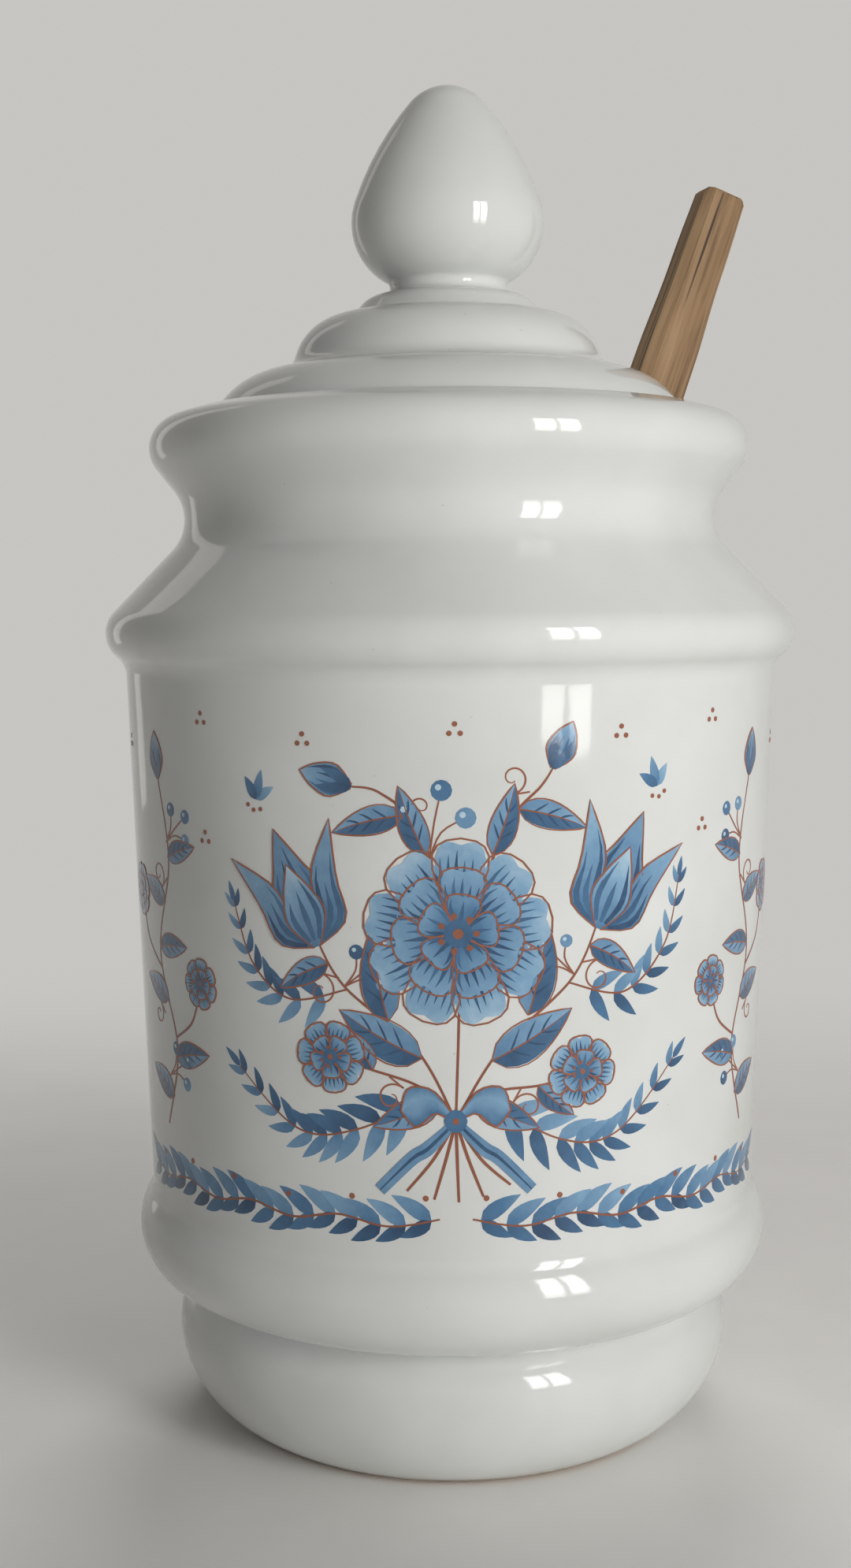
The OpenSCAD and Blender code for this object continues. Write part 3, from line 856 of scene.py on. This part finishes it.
def bow(knot, size):
    """Ribbon tied round the stems."""
    upper = curve([(0, 0.06), (0.45, 0.62), (0.95, 0.66), (1.10, 0.20)], BLADE_STEPS)
    lower = curve([(0, -0.06), (0.40, 0.16), (0.80, -0.12), (1.10, 0.20)], BLADE_STEPS)
    for side in (-1, 1):

        def at(x, y):
            return (knot[0] + side * x, knot[1] + y)

        rows = []
        for p, q in zip(upper, lower):
            shares = [(t, between(p, q, t)) for t in (0, 0.33, 0.67, 1)]
            rows.append([(*at(size * x, size * y), 0.25 + 0.75 * abs(t - 0.40)) for t, (x, y) in shares])
        patch("blue", rows, RIBBON + 2)
        around = [row[0][:2] for row in rows] + [row[-1][:2] for row in reversed(rows[:-1])]
        stroke("brown", around, 0.34, LINE_TONE, RIBBON + 4, (1.0, 1.0))
        tail = curve([knot, at(5, -5), at(8, -7), at(14, -13)], 14)
        stroke("blue", tail, 2.6, 0.45, RIBBON, (0.5, 0.9))
        stroke("blue", tail, 0.7, 0.90, RIBBON + 1, (0.6, 0.3))
    dot(*knot, 2.1, 0.70, RIBBON + 5, "blue")
    dot(*knot, 0.6, LINE_TONE, RIBBON + 6)


def side_spray(u, flip):
    """Upright spray beside the bouquet, mirrored if flip is -1."""

    def at(x, y):
        return (u + flip * x, y)

    def way(turn):
        return turn if flip > 0 else 180 - turn

    tones = LIT_LEFT if flip > 0 else LIT_RIGHT
    stem([at(-3, 66), at(3, 82), at(-3, 100), at(3, 118), at(0, 134)])
    for x, y, turn, length, bend in (
        (0.5, 72, 150, 12, 0.15),
        (2.4, 80, 20, 12, -0.15),
        (0, 91, 155, 12, 0.15),
        (-2.6, 101, 15, 11, -0.15),
        (0.5, 110, 150, 11, 0.15),
        (2.8, 119, 25, 10, -0.15),
    ):
        leaf(at(x, y), way(turn), length, length * 0.44, bend * flip, tones)
    bud(at(0, 134), way(95), 9)
    stem([at(-2.8, 97), at(-10, 102), at(-13, 109)], 0.5)
    bloom(at(-13.5, 111), 7.5, 10, 2)
    stem([at(2.6, 84), at(9, 88), at(12, 94)], 0.5)
    bloom(at(12.5, 96), 7.0, 30, 2)
    berries(at(2.4, 122), way(40), 8)
    berries(at(-1, 76), way(30), 8)
    tendril(at(2, 115), way(160), 7, flip)
    tendril(at(-2, 88), way(200), 6, -flip)


def garland(reach):
    """Band of overlapping brush leaves above the lower bead, parting at the front."""
    for side in (-1, 1):
        waves = [(side * (3 + (reach - 3) * k / 8), 56.0 + 0.8 * (-1) ** k) for k in range(9)]
        line = curve(waves, 70)
        stroke("brown", line, 0.42, STEM_TONE, STEM, (0.8, 0.4))
        along = 0 if side > 0 else 180
        for k in range(2, 68, 4):
            u, v = line[k]
            over_last = k // 4 % 2
            tone = 0.36 + 0.3 * hand.random()
            dab((u, v), along + side * 40, 8.6, 3.0, tone, FROND + over_last, -0.14 * side)
            tone = 0.68 + 0.3 * hand.random()
            dab((u, v), along - side * 36, 6.6, 2.6, tone, FROND + 1 - over_last, 0.12 * side)
            if k % 12 == 2:
                dot(u + side, v + 4.2, 0.55, LINE_TONE, LEAF)


SPRIGS = ((-37, 132, 75), (38, 134, 105))
DOTS = (
    (-27, 143), (30, 144), (0, 145), (-50, 124), (50, 126),
    (-50, 146), (52, 146), (-84, 140), (84, 140),
)


def scattered():
    """Single sprigs and dots that fill the ground between the sprays."""
    for u, v, turn in SPRIGS:
        for k in (-1, 0, 1):
            dab((u, v), turn + 38 * k, 5.6 - abs(k), 2.0, 0.5 + 0.2 * k, FROND + 1 + k, 0.1 * k)
            dot(*turned((u, v), turn + 180 + 45 * k, 2.0, 0), 0.42, LINE_TONE, LEAF)
    for spot in DOTS:
        for k in range(3):
            dot(*turned(spot, 90 + 120 * k, 1.1, 0), 0.48, LINE_TONE, LEAF)


def wall_point(u, v, lift):
    """Point on the plain wall, lifted off it."""
    a = u / WALL_R
    r = (wall_r(v) + lift) * MM
    return (r * sin(a), -r * cos(a), v * MM)


def painted_object(colour, mat):
    """All patches of one colour as thin closed slabs that lie on the wall."""
    bm = bmesh.new()
    tone = bm.verts.layers.float.new("tone")

    def vert(u, v, t, height):
        new = bm.verts.new(wall_point(u, v, height))
        new[tone] = t
        return new

    for grid, lift in painted[colour]:
        slab(bm, *([[vert(*spot, height) for spot in row] for row in grid] for height in (lift, ROOT)))
    bmesh.ops.recalc_face_normals(bm, faces=bm.faces)
    name = "painted_" + colour
    ob = new_object(name, mesh_from(bm, name), "jar")
    smooth(ob.data)
    ob.data.materials.append(mat)


BLUE = [
    (0.0, (0.50, 0.655, 0.76)), (0.28, (0.21, 0.375, 0.55)),
    (0.62, (0.072, 0.182, 0.335)), (1.0, (0.026, 0.068, 0.145)),
]
BROWN = [(0.2, (0.36, 0.14, 0.08)), (0.8, (0.22, 0.07, 0.04))]

bouquet()
side_spray(-66, 1)
side_spray(67, -1)
garland(80)
scattered()
painted_object("blue", paint("paint_blue", BLUE))
painted_object("brown", paint("paint_brown", BROWN))

# Ladle, in a frame of its own: front towards -X, t along Z from the bowl's tip

# Share of the handle's thickness that the whittled edges leave flat on each face
FLAT = 0.64
# How far the bowl's lip falls away at its edges, and its thickness there
LIP_DROP, RIM_THIN = 1.1, 0.05
# Widths over which the handle grows into the bowl's plan and back
PLAN_BLEND, BACK_BLEND = 5.0, 3.0
# The whittler's waves: their depth, and their rates along the handle
WAVE, WAVE_RATE, WAVE_START, RIPPLE_RATE = 0.10, 0.071, 0.8, 0.23
# The worn end of the handle: its length and the share by which it thins
END_LEN, END_THINS = 0.7, 0.10
# How closely the ladle is cut along its length: at the bowl's tip, over the bowl, on the handle
TIP_ZONE, TIP_STEP, BOWL_ZONE, BOWL_STEP, HANDLE_STEP = 2.0, 0.25, 62.0, 0.75, 3.0
# Steps across each whittled edge and across the flat face
EDGE_STEPS, FACE_STEPS = 11, 18
# Narrowest half width, and slack with which a point still counts as in the bowl
LEAST_HALF, SLACK = 0.05, 0.001
# Corners closer than this are one
WELD = 0.01


def soft_max(a, b, k):
    """Larger of two values, rounded over a width k where they are close."""
    h = max(k - abs(a - b), 0.0) / k
    return max(a, b) + h * h * k * 0.25


def handle_half(t):
    """Half thickness of the handle at a length t from the bowl's tip, with a whittler's slight waves."""
    thins = max(0.0, t - LADLE_LEN + TAPER_LEN) / TAPER_LEN
    plain = (HANDLE_LOW + (HANDLE_TOP - HANDLE_LOW) * thins) / 2
    return plain - WAVE - WAVE * sin(t * WAVE_RATE + WAVE_START) * sin(t * RIPPLE_RATE)


def handle_depth(y, half):
    """Front-to-back half depth of the whittled section at a sideways place y."""
    return half - max(0.0, min(abs(y), half) - half * FLAT)


def bowl_faces(far):
    """Front and back of the bowl at a distance far from its middle."""
    back = BOWL_DEEP - bowl_face - (bowl_out - sqrt(bowl_out**2 - far**2))
    inner = BOWL_R - BOWL_WALL
    if far < inner:
        front = BOWL_DEEP - BOWL_WALL - bowl_face - (bowl_in - sqrt(bowl_in**2 - far**2))
    else:
        lip = (far - inner) / BOWL_WALL
        front = LIP_DROP * (2 * lip - 1) ** 4 - bowl_face
    return front, max(back, front + RIM_THIN)


def web_faces(off_bowl, off_handle, half):
    """Front and back of the web in the corner between the bowl's rim and the handle's side."""
    share = off_bowl / (off_bowl + off_handle)
    lip, side = LIP_DROP - bowl_face, half * FLAT
    return lip + (-side - lip) * share, lip + RIM_THIN + (side - lip - RIM_THIN) * share


def ladle_faces(y, t, half, fade):
    """Front and back of the ladle at a place y across and t along it."""
    far = hypot(y, t - BOWL_R)
    in_bowl = far < BOWL_R + SLACK
    in_handle = t > handle_from and abs(y) <= half
    depth = handle_depth(y, half) * fade
    if not in_bowl:
        return (-depth, depth) if in_handle else web_faces(far - BOWL_R, abs(y) - half, half)
    front, back = bowl_faces(min(far, BOWL_R))
    if not in_handle:
        return front, back
    if far >= BOWL_R - BOWL_WALL / 2:
        front = min(front, -depth)
    return front, soft_max(back, depth, BACK_BLEND)


def ladle_stops():
    """Places along the ladle at which it is cut."""
    stops, t = [], 0.0
    while t < BOWL_ZONE:
        stops.append(t)
        t += TIP_STEP if t < TIP_ZONE else BOWL_STEP
    while t < LADLE_LEN - END_LEN:
        stops.append(t)
        t += HANDLE_STEP
    return stops + [LADLE_LEN - END_LEN, LADLE_LEN - TIP_STEP, LADLE_LEN]


def ladle_mesh():
    """Handle and bowl as one carved body: front and back faces over one plan."""
    edge = math.acos(FLAT)
    angles = [edge * k / EDGE_STEPS for k in range(EDGE_STEPS)]
    angles += [edge + (pi - 2 * edge) * k / FACE_STEPS for k in range(FACE_STEPS)]
    angles += [pi - edge + edge * k / EDGE_STEPS for k in range(EDGE_STEPS + 1)]
    bm = bmesh.new()
    fronts, backs = [], []
    for t in ladle_stops():
        width = sqrt(max(0.0, BOWL_R**2 - (t - BOWL_R) ** 2))
        half = handle_half(max(t, handle_from))
        fade = 1 - END_THINS * max(0.0, t - LADLE_LEN + END_LEN) / END_LEN
        if t > handle_from:
            width = soft_max(width, half, PLAN_BLEND)
        width = max(width * fade, LEAST_HALF)
        places = [-width * cos(angle) for angle in angles]
        faces = [ladle_faces(y, t, half, fade) for y in places]
        fronts.append([bm.verts.new((f * MM, y * MM, t * MM)) for y, (f, b) in zip(places, faces)])
        backs.append([bm.verts.new((b * MM, y * MM, t * MM)) for y, (f, b) in zip(places, faces)])
    slab(bm, fronts, backs)
    bmesh.ops.remove_doubles(bm, verts=bm.verts, dist=WELD * MM)
    bmesh.ops.recalc_face_normals(bm, faces=bm.faces)
    return mesh_from(bm, "ladle_body")


def drain_cutter(off, turn):
    """Drill for one drain hole, off the bowl's middle in the direction turn."""
    bm = bmesh.new()
    bmesh.ops.create_cone(
        bm, cap_ends=True, segments=DRAIN_SIDES,
        radius1=DRAIN_R * MM, radius2=DRAIN_R * MM, depth=DRAIN_REACH * MM,
    )
    a = radians(turn)
    spot = Matrix.Translation((0, off * sin(a) * MM, (BOWL_R + off * cos(a)) * MM))
    place = LADLE_PLACE @ spot @ Matrix.Rotation(pi / 2, 4, "Y")
    return linked("drain", mesh_from(bm, "drain"), place)


drains = [drain_cutter(DRAIN_RING, 90 + 360 * k / DRAIN_COUNT) for k in range(DRAIN_COUNT)]
ladle = new_object("ladle_body", ladle_mesh(), "ladle", LADLE_PLACE)
cut(ladle, drains + [drain_cutter(0, 90)])
smooth(ladle.data, CRISP_WOOD)
ladle.data.materials.append(wood("ladle_wood"))
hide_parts("ladle")

# Floor, light and camera, in metres

PALE = (0.57, 0.56, 0.54)


def seen_rays(nodes, links):
    """1 for the rays that show the surround: straight, in a reflection or through glass."""
    light_path = nodes.new("ShaderNodeLightPath")
    seen = light_path.outputs["Is Camera Ray"]
    for ray in ("Is Glossy Ray", "Is Transmission Ray"):
        seen = maths(nodes, links, "MAXIMUM", seen, light_path.outputs[ray])
    return seen


def blended(nodes, links, factor, a, b, output):
    """Sends a mix of two shaders to an output node."""
    node = nodes.new("ShaderNodeMixShader")
    links.new(factor, node.inputs["Fac"])
    links.new(a, node.inputs[1])
    links.new(b, node.inputs[2])
    links.new(node.outputs["Shader"], nodes[output].inputs["Surface"])


# The floor sweeps up into a backdrop behind the jar, so that no horizon shows
FLOOR_FRONT, FLOOR_HALF, FLOOR_DROP = -3.0, 4.0, 0.0002
SWEEP_R, SWEEP_STEPS, BACKDROP_TOP = 0.9, 15, 4.0
PAPER = [(0.3, (0.87, 0.86, 0.84)), (0.7, (0.90, 0.89, 0.87))]
# Distances from the jar between which the floor fades into the pale surround
FADE_FROM, FADE_TO = 0.16, 0.52

sweep = [(FLOOR_FRONT, 0.0), (SWEEP_R, 0.0)]
for k in range(1, SWEEP_STEPS + 1):
    a = pi / 2 * k / SWEEP_STEPS
    sweep.append((SWEEP_R + SWEEP_R * sin(a), SWEEP_R - SWEEP_R * cos(a)))
sweep.append((2 * SWEEP_R, BACKDROP_TOP))
floor_mesh = bpy.data.meshes.new("floor")
floor_mesh.from_pydata(
    [(x, y, z) for y, z in sweep for x in (-FLOOR_HALF, FLOOR_HALF)],
    [],
    [(2 * k, 2 * k + 1, 2 * k + 3, 2 * k + 2) for k in range(len(sweep) - 1)],
)
smooth(floor_mesh)
floor = linked("floor", floor_mesh)
floor.location.z = -FLOOR_DROP
mat, nodes, links, bsdf = nodes_of("floor")
coord = nodes.new("ShaderNodeTexCoord")
paper = noise(nodes, links, coord, 30, 3.0)
pale = ramp(nodes, links, paper.outputs["Fac"], PAPER)
links.new(pale.outputs["Color"], bsdf.inputs["Base Color"])
put(bsdf, {"Roughness": 0.6})
far = nodes.new("ShaderNodeVectorMath")
far.operation = "LENGTH"
links.new(coord.outputs["Object"], far.inputs[0])
fade = nodes.new("ShaderNodeMapRange")
fade.interpolation_type = "SMOOTHSTEP"
put(fade, {"From Min": FADE_FROM, "From Max": FADE_TO})
links.new(far.outputs["Value"], fade.inputs["Value"])
faded = maths(nodes, links, "MULTIPLY", fade.outputs["Result"], seen_rays(nodes, links))
surround = nodes.new("ShaderNodeEmission")
put(surround, {"Color": (*PALE, 1)})
blended(nodes, links, faded, bsdf.outputs["BSDF"], surround.outputs["Emission"], "Material Output")
floor_mesh.materials.append(mat)


def area_light(name, place, target, size, power, colour, mirrored=True, spread=180):
    """Rectangular lamp; one that isn't mirrored stays out of the glaze's reflections."""
    light = bpy.data.lights.new(name, "AREA")
    light.shape = "RECTANGLE"
    light.size, light.size_y = size
    light.energy = power
    light.color = colour
    light.spread = radians(spread)
    ob = linked(name, light)
    ob.location = place
    ob.rotation_euler = (Vector(target) - Vector(place)).to_track_quat("-Z", "Y").to_euler()
    ob.visible_glossy = mirrored


# A window of two panes at the front right, each with a bright upper and a dim lower part, a faint
# strip behind on the left, and soft lamps overhead, behind and low in front
WINDOW_X, WINDOW_Y, PANE_OFF, PANE_W, PANE_SPREAD = 0.40, -0.53, 0.052, 0.082, 100
# Direction along the window, and how far below a pane's own height it aims
ALONG_X, ALONG_Y, AIM_BELOW = 0.80, 0.60, 0.06
# Parts of a pane: name, height, length and power
PANE_PARTS = (("upper", 0.290, 0.33, 0.36), ("lower", 0.090, 0.07, 0.036))
DAYLIGHT, WARM, SOFT, NEUTRAL = (1.0, 0.98, 0.95), (1.0, 0.94, 0.86), (1.0, 0.98, 0.96), (1.0, 0.99, 0.97)

for side, shift in (("left", -PANE_OFF), ("right", PANE_OFF)):
    for part, z, tall, power in PANE_PARTS:
        spot = (WINDOW_X + shift * ALONG_X, WINDOW_Y + shift * ALONG_Y, z)
        area_light(
            "window_%s_%s" % (side, part), spot, (0, 0, z - AIM_BELOW), (PANE_W, tall), power, DAYLIGHT,
            spread=PANE_SPREAD,
        )
area_light("strip", (-0.49, 0.54, 0.40), (-0.06, 0, 0.14), (0.11, 0.80), 0.16, WARM)
area_light("overhead", (0.3, -0.25, 1.3), (0, 0, 0.1), (1.2, 1.2), 2.1, SOFT, mirrored=False)
area_light("behind", (0.08, 1.00, 0.85), (0, 0, 0.12), (0.6, 0.6), 5.5, NEUTRAL, mirrored=False)
area_light("low", (0.32, -0.80, 0.14), (0, 0, 0.06), (0.5, 0.2), 1.30, SOFT, mirrored=False)

ROOM_FILL, FILL_STRENGTH = (0.62, 0.60, 0.57), 0.10
world = bpy.data.worlds.new("soft_room")
bpy.context.scene.world = world
world.use_nodes = True
nodes, links = world.node_tree.nodes, world.node_tree.links
fill = nodes["Background"]
put(fill, {"Color": (*ROOM_FILL, 1), "Strength": FILL_STRENGTH})
surround = nodes.new("ShaderNodeBackground")
put(surround, {"Color": (*PALE, 1)})
seen = seen_rays(nodes, links)
blended(nodes, links, seen, fill.outputs["Background"], surround.outputs["Background"], "World Output")

# The camera that was fitted to the photograph: its place, degrees of tilt and roll, sensor and lens
EYE, EYE_DOWN, EYE_ROLL = (-0.0051, -0.407, 0.1679), 5.4, -0.31
SENSOR, LENS = 36, 45.2
camera = bpy.data.cameras.new("camera")
camera.sensor_width = SENSOR
camera.lens = LENS
bpy.context.scene.camera = linked(
    "camera",
    camera,
    Matrix.Translation(EYE)
    @ Matrix.Rotation(radians(90 - EYE_DOWN), 4, "X")
    @ Matrix.Rotation(radians(EYE_ROLL), 4, "Z"),
)
bpy.context.scene.view_settings.view_transform = "Standard"
